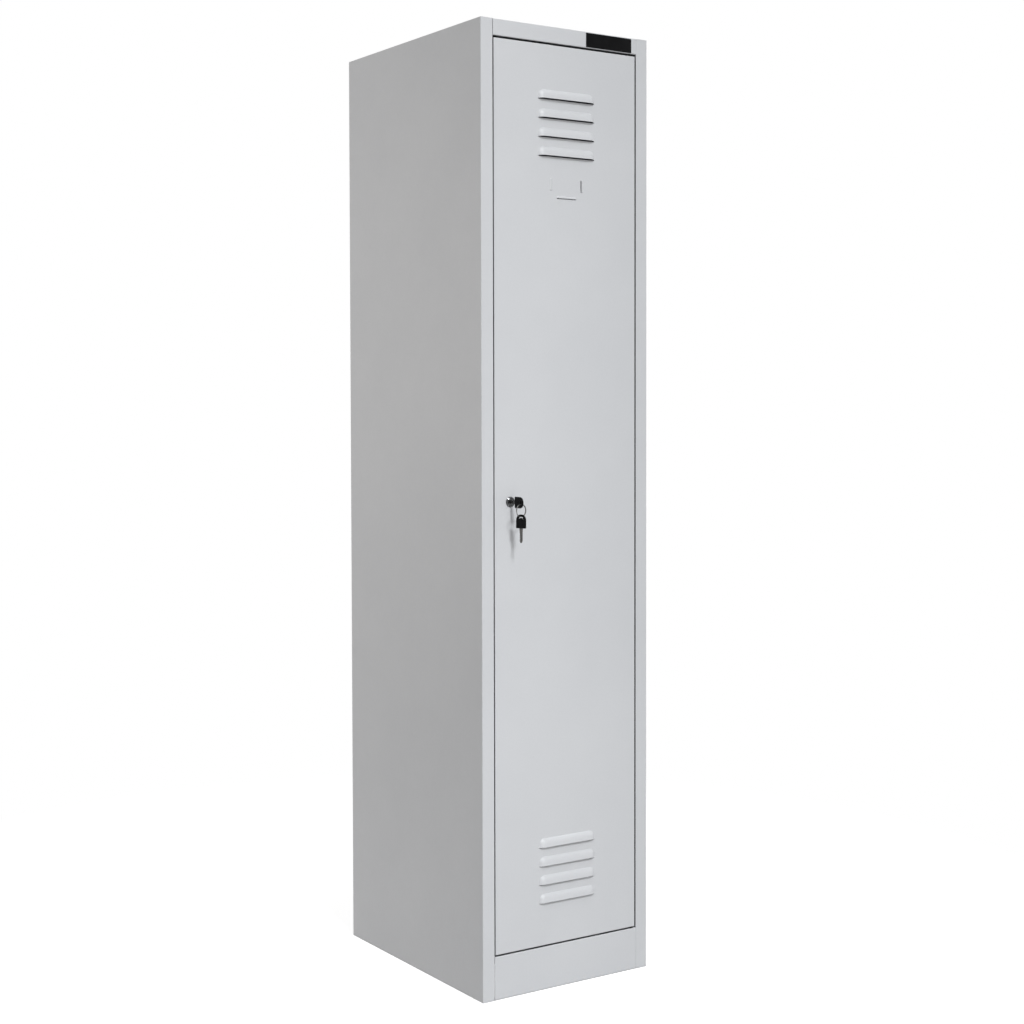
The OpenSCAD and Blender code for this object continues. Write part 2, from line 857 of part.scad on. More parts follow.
// The turning plug, with its keyway in front and the cam screw's hole behind.
module lock_plug() {
    front = -depth - bezel_t + plug_lip;
    color(steel) difference() {
        rod_y(plug_d / 2, lock_x, lock_z, front, cam_y);
        span([lock_x - keyway_w / 2, front - over, lock_z - keyway_h / 2],
             [lock_x + keyway_w / 2, front + keyway_depth, lock_z + keyway_h / 2]);
        rod_y(screw_r, lock_x, lock_z, cam_y - screw_depth, cam_y + over);
    }
}

// The cam hangs down when the door is unlocked and turns behind the stile's lip to lock it.
module lock_cam() {
    color(steel) translate([lock_x, cam_y + cam_t, lock_z]) rotate([90, 0, 0]) linear_extrude(cam_t)
        difference() {
            union() {
                for (side = [0, 1]) {
                    mirror([side, 0]) quarter_disc(cam_w / 2);
                    translate([0, -cam_reach + cam_w / 2]) mirror([side, 0]) rotate(270)
                        quarter_disc(cam_w / 2);
                }
                translate([-cam_w / 2, -cam_reach + cam_w / 2]) square([cam_w, cam_reach - cam_w / 2]);
            }
            circle(screw_r + screw_clear);
        }
}

module cam_screw() {
    head_y = cam_y + cam_t;
    color(steel) difference() {
        union() {
            rod_y(screw_r - screw_clear, lock_x, lock_z, cam_y - screw_depth + over, head_y);
            rod_y(screw_head_r, lock_x, lock_z, head_y, head_y + screw_head_h);
        }
        span([lock_x - screw_head_r - over, head_y + screw_head_h - screw_slot_d, lock_z - screw_slot_w / 2],
             [lock_x + screw_head_r + over, head_y + screw_head_h + over, lock_z + screw_slot_w / 2]);
    }
}

// ---- Keys ----

// Outline of a blade along +X from its root at the origin. Its tang runs back into the bow.
module blade_outline() {
    difference() {
        polygon([[-tang_l, -blade_h / 2], [0, -blade_h / 2], [neck_l, -neck_h / 2],
                 [blade_l - tip_l, -neck_h / 2], [blade_l, -tip_h / 2 + tip_bevel],
                 [blade_l, tip_h / 2 - tip_bevel], [blade_l - tip_l, neck_h / 2], [neck_l, neck_h / 2],
                 [0, blade_h / 2], [-tang_l, blade_h / 2]]);
        for (i = [0 : tooth_count - 1])
            translate([neck_l + tooth_pitch * (i + 1), -neck_h / 2])
                polygon([[-tooth_pitch / 2, -over], [0, tooth_depth], [tooth_pitch / 2, -over]]);
    }
}

// A key's blade along +X, centred on its thickness.
module blade() {
    translate([0, 0, -blade_t / 2]) linear_extrude(blade_t) blade_outline();
}

// Half-round hole with a bump in its straight side, its round side towards -X.
module bow_hole() {
    difference() {
        intersection() {
            circle(bow_hole_r);
            translate([-bow_hole_r - over, -bow_hole_r - over])
                square([bow_hole_r + over, 2 * bow_hole_r + 2 * over]);
        }
        translate([hole_bump_drop, 0]) circle(hole_bump_r);
    }
}

// A key's bow, flat at the origin and round towards -X, with a pocket for the blade's tang.
module bow() {
    bow_r = bow_w / 2;
    difference() {
        translate([0, 0, -bow_t / 2]) linear_extrude(bow_t) difference() {
            union() {
                translate([-bow_l + bow_r, -bow_r]) square([bow_l - bow_r, bow_w]);
                for (side = [0, 1])
                    translate([-bow_l + bow_r, 0]) mirror([0, side]) rotate(90) quarter_disc(bow_r);
            }
            translate([-bow_l + bow_hole_in, 0]) bow_hole();
        }
        span([-tang_l, -blade_h / 2, -blade_t / 2], [over, blade_h / 2, blade_t / 2]);
    }
}

// Sends a key drawn along +X to the lock, with its blade along +Y and its width upright.
module in_lock() {
    translate([lock_x, key_root_y, lock_z]) rotate([90, 0, 90]) children();
}

module key_blade() {
    color(steel) in_lock() blade();
}

module key_bow() {
    color(black_plastic) in_lock() bow();
}

module key_ring() {
    color(steel) translate([ring_x, ring_y, ring_z]) rotate([0, 0, ring_yaw]) rotate([90, 0, 0])
        rotate_extrude() translate([ring_d / 2, 0]) circle(ring_wire / 2);
}

// Sends a key drawn along +X to the foot of the ring, hanging by its hole.
module on_ring() {
    translate([ring_x, ring_y, spare_root_z]) rotate([0, 0, spare_yaw]) rotate([90, 90, 0]) children();
}

module spare_key_blade() {
    color(steel) on_ring() blade();
}

module spare_key_bow() {
    color(black_plastic) on_ring() bow();
}

left_side_panel();
right_side_panel();
back_panel();
top_panel();
plinth_panel();
floor_panel();
hat_shelf();
shelf_clips();
hanging_rail();
rail_socket_left();
rail_socket_right();
coat_hook_left();
coat_hook_right();
back_rivets();
upper_pivot_pin();
lower_pivot_pin();
door_buffers();
door_skin();
door_stiffener();
upper_hinge_bracket();
lower_hinge_bracket();
upper_pivot_bush();
lower_pivot_bush();
lock_housing();
lock_nut();
lock_plug();
lock_cam();
cam_screw();
key_blade();
key_bow();
key_ring();
spare_key_blade();
spare_key_bow();
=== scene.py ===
"""Single-door steel locker cabinet: finishes, small parts and studio round the packed frame.

Every size is in metres. The frame has its origin on the floor in the plane of the back,
+X to the right and +Z up, and the door faces -Y.
"""

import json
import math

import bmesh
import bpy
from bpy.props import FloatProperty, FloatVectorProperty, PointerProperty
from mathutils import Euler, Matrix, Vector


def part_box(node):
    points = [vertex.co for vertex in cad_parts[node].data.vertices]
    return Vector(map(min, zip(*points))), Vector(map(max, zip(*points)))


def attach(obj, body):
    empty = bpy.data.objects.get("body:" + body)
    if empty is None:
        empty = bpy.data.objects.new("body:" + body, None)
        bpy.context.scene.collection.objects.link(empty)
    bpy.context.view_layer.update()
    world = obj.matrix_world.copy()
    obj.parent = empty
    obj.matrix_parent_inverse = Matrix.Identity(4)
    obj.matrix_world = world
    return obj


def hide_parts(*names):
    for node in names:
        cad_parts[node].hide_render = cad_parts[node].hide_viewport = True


bl_info = {
    "name": "Locker Cabinet",
    "version": (1, 0, 0),
    "blender": (4, 5, 0),
    "location": "View3D > Sidebar > Locker",
    "description": "Powder coat, lock, keys, rivets and name plate of a steel locker cabinet",
    "category": "Object",
}

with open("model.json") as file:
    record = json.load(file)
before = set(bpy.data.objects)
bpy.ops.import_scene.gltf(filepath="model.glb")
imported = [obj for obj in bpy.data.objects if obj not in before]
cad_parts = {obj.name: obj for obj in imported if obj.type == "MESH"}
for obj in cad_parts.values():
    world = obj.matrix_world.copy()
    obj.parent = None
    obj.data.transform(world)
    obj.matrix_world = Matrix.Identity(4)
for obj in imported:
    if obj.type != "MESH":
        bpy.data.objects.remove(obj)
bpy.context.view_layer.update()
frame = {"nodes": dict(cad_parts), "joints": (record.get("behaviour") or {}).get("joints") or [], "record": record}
MM = 0.001
SHEET = 0.8 * MM
WELD = 0.001 * MM

SLOT_OF = {part["node"]: part["material_slot"] for part in frame["record"]["subparts"]}
AXIS_OF = {joint["name"]: joint["axis"] for joint in frame["joints"]}


def middle(node):
    """Centre of a CAD node's box."""
    low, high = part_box(node)
    return (low + high) / 2


def size_of(node):
    """Length of a CAD node's box along each axis."""
    low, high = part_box(node)
    return high - low


# ---- Settings ----


class LOCKER_PG_paint(bpy.types.PropertyGroup):
    """Powder coat of the sheet metal."""

    light: FloatVectorProperty(
        name="Light shade", description="Coat where it lies thick", subtype="COLOR", size=3,
        default=(0.606, 0.612, 0.627), min=0.0, max=1.0)
    dark: FloatVectorProperty(
        name="Dark shade", description="Coat where it lies thin", subtype="COLOR", size=3,
        default=(0.573, 0.580, 0.597), min=0.0, max=1.0)
    edge: FloatVectorProperty(
        name="Worn edge", description="Coat rubbed thin along the edges", subtype="COLOR", size=3,
        default=(0.50, 0.51, 0.53), min=0.0, max=1.0)
    # Painted shade: this near black is laid into the gaps and folds of the coat by ambient occlusion.
    gap: FloatVectorProperty(
        name="Gap shade", description="Thin coat and dirt deep in the gaps", subtype="COLOR",
        size=3, default=(0.020, 0.021, 0.023),
        min=0.0, max=1.0)
    peel_pitch: FloatProperty(
        name="Orange peel pitch", description="Distance between the swells of the coat",
        default=2.2 * MM, min=0.5 * MM, max=6 * MM, unit="LENGTH")
    peel_depth: FloatProperty(
        name="Orange peel depth", description="Height of the swells of the coat",
        default=0.012 * MM, min=0.0, max=0.1 * MM, unit="LENGTH", precision=6)
    gloss: FloatProperty(
        name="Roughness", description="Roughness of the coat", default=0.42, min=0.05, max=1.0,
        subtype="FACTOR")


class LOCKER_PG_plate(bpy.types.PropertyGroup):
    """Blank name plate on the header."""

    width: FloatProperty(
        name="Width", description="Width of the plate", default=106.6 * MM, unit="LENGTH")
    height: FloatProperty(
        name="Height", description="Height of the plate", default=26.8 * MM, unit="LENGTH")
    thickness: FloatProperty(
        name="Thickness", description="Thickness of the plate", default=0.8 * MM, unit="LENGTH")
    corner: FloatProperty(
        name="Corner radius", description="Radius of its corners", default=1.0 * MM, unit="LENGTH")
    rim: FloatProperty(
        name="Edge rounding", description="Radius along its edges", default=0.18 * MM,
        unit="LENGTH")
    centre: FloatVectorProperty(
        name="Centre", description="Where its middle stands, across and up", size=2,
        default=(98.4 * MM, 1784.7 * MM), subtype="TRANSLATION", unit="LENGTH")


class LOCKER_PG_lock(bpy.types.PropertyGroup):
    """Cam lock case."""

    running: FloatProperty(
        name="Running clearance", description="Gap round the plug in its bore",
        default=0.03 * MM, unit="LENGTH", precision=6)
    rim_round: FloatProperty(
        name="Rim rounding", description="Radius round the rim of the bezel", default=0.5 * MM,
        unit="LENGTH")
    bevel_w: FloatProperty(
        name="Bevel width", description="Width of the bevel round the bezel", default=2.6 * MM,
        unit="LENGTH")
    bevel: FloatProperty(
        name="Bevel slope", description="Slope of the bevel round the bezel",
        default=math.radians(32), subtype="ANGLE", unit="ROTATION")
    dish: FloatProperty(
        name="Dish depth", description="Depth of the dish inside the rim", default=0.6 * MM,
        unit="LENGTH")
    thread_pitch: FloatProperty(
        name="Thread pitch", description="Pitch of the thread on the barrel", default=1.25 * MM,
        unit="LENGTH")
    thread_depth: FloatProperty(
        name="Thread depth", description="Depth of the thread on the barrel", default=0.45 * MM,
        unit="LENGTH")


class LOCKER_PG_keys(bpy.types.PropertyGroup):
    """Keys and their split ring."""

    bow_round: FloatProperty(
        name="Bow rounding", description="Radius round the edges of a bow", default=0.7 * MM,
        unit="LENGTH")
    panel_depth: FloatProperty(
        name="Panel depth", description="Depth of the sunk panel on each face of a bow",
        default=0.3 * MM, unit="LENGTH")
    flute_w: FloatProperty(
        name="Flute width", description="Width of the milled flute along a blade",
        default=1.5 * MM, unit="LENGTH")
    flute_depth: FloatProperty(
        name="Flute depth", description="Depth of the flute on each side of a blade",
        default=0.5 * MM, unit="LENGTH")
    wire: FloatProperty(
        name="Ring wire", description="Thickness of the ring's two coils together",
        default=1.6 * MM, unit="LENGTH")
    split_angle: FloatProperty(
        name="Split angle", description="Where the ring's wire crosses over",
        default=math.radians(205), subtype="ANGLE", unit="ROTATION")
    cross_over: FloatProperty(
        name="Cross-over", description="Turn over which the wire crosses to its second coil",
        default=math.radians(34), subtype="ANGLE", unit="ROTATION")


class LOCKER_PG_studio(bpy.types.PropertyGroup):
    """Camera, lamps and floor."""

    camera: FloatVectorProperty(
        name="Camera", description="Place of the camera", size=3, subtype="TRANSLATION",
        unit="LENGTH", default=(-1.8867, -3.1432, 1.0973))
    turn: FloatProperty(
        name="Camera turn", description="Turn of the camera about the vertical",
        default=math.radians(-33.70), subtype="ANGLE", unit="ROTATION")
    tilt: FloatProperty(
        name="Camera tilt", description="How far the camera looks down",
        default=math.radians(1.915), subtype="ANGLE", unit="ROTATION")
    roll: FloatProperty(
        name="Camera roll", description="Turn of the picture about its middle",
        default=math.radians(-0.117), subtype="ANGLE", unit="ROTATION")
    lens: FloatProperty(
        name="Lens", description="Focal length in millimetres", default=60.75, min=10, max=300)
    shift: FloatProperty(
        name="Shift", description="Upward shift of the lens, in picture widths", default=-0.047)
    key_strength: FloatProperty(
        name="Key light", description="Strength of the front light, which casts the shadows",
        default=1.80, min=0.0)
    key_height: FloatProperty(
        name="Key elevation", description="Elevation of the key light", default=math.radians(42),
        subtype="ANGLE", unit="ROTATION")
    key_side: FloatProperty(
        name="Key side", description="How far the key light stands to the right",
        default=math.radians(-7), subtype="ANGLE", unit="ROTATION")
    key_spread: FloatProperty(
        name="Key spread", description="Width of the key light as seen from the cabinet",
        default=math.radians(10), subtype="ANGLE", unit="ROTATION")
    top_strength: FloatProperty(
        name="Top light", description="Strength of the wide light high above the front",
        default=0.42, min=0.0)
    wall_power: FloatProperty(
        name="Wall lamp", description="Power of the tall strip in front of the left stile",
        default=2.6, min=0.0, unit="POWER")
    side_power: FloatProperty(
        name="Side lamp", description="Power of the warm soft lamp that lights the left side",
        default=18.0, min=0.0, unit="POWER")
    rear_power: FloatProperty(
        name="Rear lamp", description="Power of the soft lamp that lights the right and the back",
        default=32.0, min=0.0, unit="POWER")
    ambient: FloatProperty(
        name="Ambient light", description="Strength of the light from all round", default=0.26,
        min=0.0, max=2.0)


SETTINGS = {
    "locker_paint": LOCKER_PG_paint,
    "locker_plate": LOCKER_PG_plate,
    "locker_lock": LOCKER_PG_lock,
    "locker_keys": LOCKER_PG_keys,
    "locker_studio": LOCKER_PG_studio,
}


# ---- Finishes ----


class Finish:
    """One node-based material with its Principled shader."""

    def __init__(self, name, **sockets):
        self.material = bpy.data.materials.new(name)
        self.material.use_nodes = True
        self.tree = self.material.node_tree
        self.shader = self.tree.nodes["Principled BSDF"]
        for socket, value in sockets.items():
            self.shader.inputs[socket.replace("_", " ")].default_value = value
        self.place = self.node("ShaderNodeTexCoord").outputs["Object"]

    def node(self, kind, settings=None, **inputs):
        """Adds a node. Inputs are values, or outputs of other nodes."""
        made = self.tree.nodes.new(kind)
        for key, value in (settings or {}).items():
            setattr(made, key, value)
        for key, value in inputs.items():
            self.feed(made.inputs[key.replace("_", " ")], value)
        return made

    def feed(self, socket, value):
        """Sets a socket to a value, or links it to another node's output."""
        if isinstance(value, bpy.types.NodeSocket):
            self.tree.links.new(value, socket)
        else:
            socket.default_value = value

    def drive(self, socket, value):
        """Feeds one of the shader's sockets."""
        self.feed(self.shader.inputs[socket], value)

    def stretched(self, stretch):
        """The place on the piece, stretched along the axes."""
        scaled = self.node("ShaderNodeVectorMath", {"operation": "MULTIPLY"})
        self.feed(scaled.inputs[0], self.place)
        self.feed(scaled.inputs[1], stretch)
        return scaled.outputs["Vector"]

    def noise(self, pitch, detail=2.0, rough=0.5, stretch=None):
        """Soft noise whose swells lie about pitch metres apart."""
        place = self.place if stretch is None else self.stretched(stretch)
        made = self.node("ShaderNodeTexNoise", None, Vector=place, Scale=1.0 / pitch, Detail=detail,
                         Roughness=rough)
        return made.outputs["Fac"]

    def ranged(self, value, low, high, to_low=0.0, to_high=1.0):
        """Maps low to high of a value on to another range, and clamps it."""
        made = self.node("ShaderNodeMapRange", None, Value=value, From_Min=low, From_Max=high,
                         To_Min=to_low, To_Max=to_high)
        return made.outputs["Result"]

    def math(self, operation, first, second):
        """Works out one operation on two values."""
        made = self.node("ShaderNodeMath", {"operation": operation})
        self.feed(made.inputs[0], first)
        self.feed(made.inputs[1], second)
        return made.outputs["Value"]

    def mixed(self, share, first, second):
        """Mixes two colours."""
        made = self.node("ShaderNodeMix", {"data_type": "RGBA"})
        self.feed(made.inputs["Factor"], share)
        for socket, value in (("A", first), ("B", second)):
            colour = [s for s in made.inputs if s.name == socket and s.type == "RGBA"][0]
            self.feed(colour, value if isinstance(value, bpy.types.NodeSocket) else (*value, 1.0))
        return [s for s in made.outputs if s.type == "RGBA"][0]

    def bump(self, height, depth, under=None):
        """Raises the surface by height times depth metres."""
        made = self.node("ShaderNodeBump", None, Height=height, Distance=depth, Strength=1.0)
        if under is not None:
            self.feed(made.inputs["Normal"], under)
        return made.outputs["Normal"]

    def edges(self, radius):
        """One along the edges of the piece and nought on its flats."""
        soft = self.node("ShaderNodeBevel", {"samples": 4}, Radius=radius).outputs["Normal"]
        true = self.node("ShaderNodeNewGeometry").outputs["Normal"]
        facing = self.node("ShaderNodeVectorMath", {"operation": "DOT_PRODUCT"})
        self.feed(facing.inputs[0], soft)
        self.feed(facing.inputs[1], true)
        return self.ranged(facing.outputs["Value"], 0.995, 0.90)

    def painted_crevice_shade(self, reach):
        """Ambient-occlusion mask for painted shade: one in narrow gaps and folds and nought in the open."""
        open_air = self.node("ShaderNodeAmbientOcclusion", {"samples": 6}, Distance=reach)
        return self.ranged(open_air.outputs["AO"], 0.50, 0.18)


def powder_coat(settings):
    """Light grey powder coat with orange peel, a slow random drift of tone, worn edges and
    painted shade darkening it deep in the gaps."""
    f = Finish("powder_coat", Roughness=settings.gloss, IOR=1.5)
    drift = f.noise(0.31, 3.0, 0.6)
    mottle = f.noise(4 * MM, 3.0)
    shade = f.math("ADD", f.math("MULTIPLY", drift, 0.7), f.math("MULTIPLY", mottle, 0.3))
    coat = f.mixed(f.ranged(shade, 0.35, 0.65), settings.dark, settings.light)
    patches = f.ranged(f.noise(14 * MM, 4.0, 0.65), 0.46, 0.62)
    wear = f.math("MULTIPLY", f.edges(0.5 * MM), patches)
    rubbed = f.mixed(f.math("MULTIPLY", wear, 0.7), coat, settings.edge)
    # Painted shade: ambient occlusion mixes the coat towards the near-black gap colour in gaps and folds.
    f.drive("Base Color", f.mixed(f.painted_crevice_shade(12 * MM), rubbed, settings.gap))
    f.drive("Roughness", f.ranged(f.noise(20 * MM, 4.0), 0.3, 0.7, settings.gloss - 0.04,
                                  settings.gloss + 0.05))
    peel = f.bump(f.noise(settings.peel_pitch, 1.0), settings.peel_depth)
    f.drive("Normal", f.bump(f.noise(0.35 * MM, 1.0), 0.0008 * MM, peel))
    return f.material


def zinc_plate(settings):
    """Satin zinc with a faint blue and yellow passivation."""
    f = Finish("zinc_plate", Metallic=1.0, Roughness=0.36)
    tint = f.ranged(f.noise(18 * MM, 4.0, 0.6), 0.35, 0.65)
    base = f.mixed(tint, (0.62, 0.64, 0.66), (0.70, 0.68, 0.62))
    scuffs = f.ranged(f.noise(2.5 * MM, 6.0, 0.7), 0.58, 0.72)
    worn = f.mixed(f.math("MULTIPLY", scuffs, 0.5), base, (0.42, 0.42, 0.43))
    # Painted shade: ambient occlusion darkens the zinc to near black in its crevices.
    f.drive("Base Color", f.mixed(f.painted_crevice_shade(12 * MM), worn, (0.03, 0.03, 0.03)))
    f.drive("Roughness", f.ranged(f.noise(6 * MM, 5.0), 0.3, 0.7, 0.28, 0.46))
    f.drive("Normal", f.bump(f.noise(0.5 * MM, 3.0), 0.004 * MM))
    return f.material


def polished_chrome(settings):
    """Dark polished chrome with hairline scratches."""
    f = Finish("polished_chrome", Metallic=1.0, Roughness=0.08)
    haze = f.noise(3 * MM, 5.0, 0.7)
    bright = f.mixed(f.ranged(haze, 0.4, 0.7), (0.10, 0.102, 0.105), (0.055, 0.056, 0.059))
    # Painted shade: ambient occlusion darkens the chrome to near black in the dish and other hollows.
    f.drive("Base Color", f.mixed(f.painted_crevice_shade(5 * MM), bright, (0.02, 0.02, 0.022)))
    hair = f.noise(0.35 * MM, 2.0, 0.5, (1.0, 1.0, 0.12))
    f.drive("Roughness", f.ranged(hair, 0.35, 0.75, 0.06, 0.17))
    f.drive("Normal", f.bump(hair, 0.0006 * MM))
    return f.material


def worn_nickel(settings):
    """Nickel plate on the blades, plug and ring, rubbed along its edges."""
    f = Finish("worn_nickel", Metallic=1.0, Roughness=0.3)
    tarnish = f.ranged(f.noise(5 * MM, 5.0, 0.65), 0.40, 0.68)
    base = f.mixed(tarnish, (0.125, 0.123, 0.119), (0.062, 0.061, 0.059))
    f.drive("Base Color", f.mixed(f.edges(0.25 * MM), base, (0.42, 0.415, 0.40)))
    drawn = f.noise(0.4 * MM, 3.0, 0.6, (1.0, 0.1, 1.0))
    f.drive("Roughness", f.ranged(drawn, 0.3, 0.7, 0.22, 0.42))
    f.drive("Normal", f.bump(drawn, 0.002 * MM))
    return f.material


def moulded_black(settings):
    """Black moulded plastic with a fine grain, rubbed paler at its edges."""
    f = Finish("moulded_black", Roughness=0.38, IOR=1.46, Specular_IOR_Level=0.07)
    cloud = f.ranged(f.noise(6 * MM, 3.0), 0.35, 0.65)
    base = f.mixed(cloud, (0.004, 0.004, 0.0045), (0.008, 0.008, 0.009))
    rub = f.math("MULTIPLY", f.edges(0.3 * MM), f.ranged(f.noise(3 * MM, 4.0), 0.45, 0.6))
    f.drive("Base Color", f.mixed(f.math("MULTIPLY", rub, 0.5), base, (0.03, 0.03, 0.032)))
    f.drive("Roughness", f.ranged(f.noise(1.5 * MM, 4.0), 0.3, 0.7, 0.32, 0.48))
    f.drive("Normal", f.bump(f.noise(0.25 * MM, 2.0), 0.006 * MM))
    return f.material


def soft_rubber(settings):
    """Matt dark rubber with a bloom."""
    f = Finish("soft_rubber", Roughness=0.82, IOR=1.5)
    bloom = f.ranged(f.noise(3 * MM, 5.0, 0.7), 0.45, 0.75)
    f.drive("Base Color", f.mixed(bloom, (0.022, 0.022, 0.023), (0.055, 0.054, 0.052)))
    f.drive("Normal", f.bump(f.noise(0.4 * MM, 3.0), 0.01 * MM))
    return f.material


def natural_nylon(settings):
    """Milky nylon of the pivot bushes."""
    f = Finish("natural_nylon", Roughness=0.45, IOR=1.53, Subsurface_Weight=0.25,
               Subsurface_Scale=0.8 * MM)
    cloud = f.ranged(f.noise(4 * MM, 3.0), 0.35, 0.65)
    f.drive("Base Color", f.mixed(cloud, (0.78, 0.76, 0.70), (0.70, 0.68, 0.61)))
    f.drive("Normal", f.bump(f.noise(0.6 * MM, 2.0), 0.004 * MM))
    return f.material


def pivot_grease(settings):
    """Dark grease smeared over the pivot pins and their bushes."""
    f = Finish("pivot_grease", Roughness=0.45, IOR=1.47, Specular_IOR_Level=0.15)
    smear = f.noise(4 * MM, 4.0, 0.6)
    base = f.mixed(f.ranged(smear, 0.45, 0.7), (0.012, 0.011, 0.010), (0.035, 0.033, 0.030))
    f.drive("Base Color", base)
    f.drive("Roughness", f.ranged(smear, 0.3, 0.7, 0.35, 0.6))
    f.drive("Normal", f.bump(smear, 0.05 * MM))
    return f.material


def plate_laminate(settings):
    """Satin black laminate of the name plate, brushed along its length."""
    f = Finish("plate_laminate", Roughness=0.45, IOR=1.5, Specular_IOR_Level=0.05)
    brushed = f.noise(0.5 * MM, 3.0, 0.6, (0.04, 1.0, 1.0))
    cloud = f.ranged(f.noise(25 * MM, 3.0), 0.35, 0.65)
    base = f.mixed(cloud, (0.004, 0.004, 0.0045), (0.007, 0.007, 0.0075))
    rub = f.math("MULTIPLY", f.edges(0.25 * MM), 0.6)
    f.drive("Base Color", f.mixed(rub, base, (0.05, 0.05, 0.05)))
    f.drive("Roughness", f.ranged(brushed, 0.3, 0.7, 0.28, 0.44))
    f.drive("Normal", f.bump(brushed, 0.002 * MM))
    return f.material


FINISH_OF = {
    "paint": powder_coat,
    "zinc": zinc_plate,
    "chrome": polished_chrome,
    "key_metal": worn_nickel,
    "black_plastic": moulded_black,
    "rubber": soft_rubber,
    "nylon": natural_nylon,
    "grease": pivot_grease,
    "plate": plate_laminate,
}
GREASED = ("upper_pivot_pin", "lower_pivot_pin", "upper_pivot_bush", "lower_pivot_bush")
MADE = {}


def finish(kind):
    """The material of one slot or of one special finish, made once."""
    if kind not in MADE:
        MADE[kind] = FINISH_OF[kind](bpy.context.scene.locker_paint)
    return MADE[kind]


# ---- Shapes ----


def new_piece(name, mesh_data, body, slot, look=None, smooth=35.0):
    """Makes an object of a mesh in the cabinet's frame and lets it ride on a body."""
    for face in mesh_data.polygons:
        face.use_smooth = True
    mesh_data.set_sharp_from_angle(angle=math.radians(smooth))
    piece = bpy.data.objects.new(name, mesh_data)
    bpy.context.scene.collection.objects.link(piece)
    mesh_data.materials.append(finish(look or slot))
    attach(piece, body)
    return piece


def mesh_of(name, parts):
    """One mesh from several bmeshes, with its normals outwards."""
    joined = bmesh.new()
    for part in parts:
        scrap = bpy.data.meshes.new("scrap")
        part.to_mesh(scrap)
        part.free()
        joined.from_mesh(scrap)
        bpy.data.meshes.remove(scrap)
    bmesh.ops.recalc_face_normals(joined, faces=joined.faces)
    made = bpy.data.meshes.new(name)
    joined.to_mesh(made)
    joined.free()
    return made


def lathe(profile, placing, steps=64):
    """Turns a profile of (radius, height) about the local Z axis, closed where radius is nought."""
    turned = bmesh.new()
    rings = []
    for radius, height in profile:
        if radius == 0:
            rings.append([turned.verts.new((0, 0, height))])
        else:
            rings.append([turned.verts.new((radius * math.cos(2 * math.pi * i / steps),
                                            radius * math.sin(2 * math.pi * i / steps), height))
                          for i in range(steps)])
    for one, two in zip(rings, rings[1:]):
        for i in range(steps):
            j = (i + 1) % steps
            corners = [one[i % len(one)], one[j % len(one)], two[j % len(two)], two[i % len(two)]]
            turned.faces.new(list(dict.fromkeys(corners)))
    turned.transform(placing)
    return turned


def arc(centre, radius, start, end, count):
    """Points along an arc, by angles in degrees."""
    for i in range(count + 1):
        angle = math.radians(start + (end - start) * i / count)
        yield (centre[0] + radius * math.cos(angle), centre[1] + radius * math.sin(angle))


def round_corners(low, high, radius, count=8):
    """Outline of a rectangle with round corners."""
    left, right = low[0] + radius, high[0] - radius
    bottom, top = low[1] + radius, high[1] - radius
    points = []
    centres = ((right, top), (left, top), (left, bottom), (right, bottom))
    for quarter, centre in enumerate(centres):
        points += list(arc(centre, radius, 90 * quarter, 90 * quarter + 90, count))
    return points


def half_dome(radius, rise, angles):
    """Points of a flattened dome's profile, by angles in degrees above its foot."""
    return [(radius * math.cos(math.radians(a)), rise * math.sin(math.radians(a))) for a in angles]


def cut_sheet(loops, thickness, rounding, placing, steps=3):
    """A plate cut to its first loop with the others as holes, and all its edges rounded.
    It lies in the local XY plane, centred on its thickness."""
    outline = bpy.data.curves.new("outline", "CURVE")
    outline.dimensions = "2D"
    outline.fill_mode = "BOTH"
    outline.extrude = thickness / 2 - rounding
    outline.bevel_depth = rounding
    outline.bevel_resolution = steps
    outline.offset = -rounding
    for loop in loops:
        spline = outline.splines.new("POLY")
        spline.points.add(len(loop) - 1)
        for point, (x, y) in zip(spline.points, loop):
            point.co = (x, y, 0, 1)
        spline.use_cyclic_u = True
    carrier = bpy.data.objects.new("outline", outline)
    bpy.context.scene.collection.objects.link(carrier)
    bpy.context.view_layer.update()
    solid = carrier.evaluated_get(bpy.context.evaluated_depsgraph_get())
    scrap = bpy.data.meshes.new_from_object(solid)
    made = bmesh.new()
    made.from_mesh(scrap)
    bmesh.ops.remove_doubles(made, verts=made.verts, dist=WELD)
    made.transform(placing)
    bpy.data.objects.remove(carrier)
    bpy.data.curves.remove(outline)
    bpy.data.meshes.remove(scrap)
    return made


def solids_in(node):
    """Boxes of the separate solids in a CAD node, from the left to the right."""
    shape = frame["nodes"][node].data
    parent = {}

    def root(key):
        while parent[key] != key:
            parent[key] = parent[parent[key]]
            key = parent[key]
        return key

    keys = [tuple(round(c / MM, 3) for c in v.co) for v in shape.vertices]
    for key in keys:
        parent.setdefault(key, key)
    for edge in shape.edges:
        parent[root(keys[edge.vertices[0]])] = root(keys[edge.vertices[1]])
    groups = {}
    for key, vertex in zip(keys, shape.vertices):
        groups.setdefault(root(key), []).append(vertex.co)
    boxes = [(Vector(map(min, zip(*group))), Vector(map(max, zip(*group))))
             for group in groups.values()]
    return sorted(boxes, key=lambda pair: tuple(pair[0]))


FORWARD = Matrix.Rotation(math.radians(90), 4, "X")
BACKWARD = Matrix.Rotation(math.radians(-90), 4, "X")


def facing_front(x, y, z):
    """Stands a shape with its local +Z towards -Y."""
    return Matrix.Translation((x, y, z)) @ FORWARD


def facing_back(x, y, z):
    """Stands a shape with its local +Z towards +Y."""
    return Matrix.Translation((x, y, z)) @ BACKWARD


# ---- Pieces ----


class LOCKER_OT_finish_frame(bpy.types.Operator):
    """Gives every CAD node the finish of its slot"""

    bl_idname = "locker.finish_frame"
    bl_label = "Finish the frame"

    def execute(self, context):
        for node, shape in frame["nodes"].items():
            shape.data.materials.clear()
            shape.data.materials.append(finish("grease" if node in GREASED else SLOT_OF[node]))
        return {"FINISHED"}


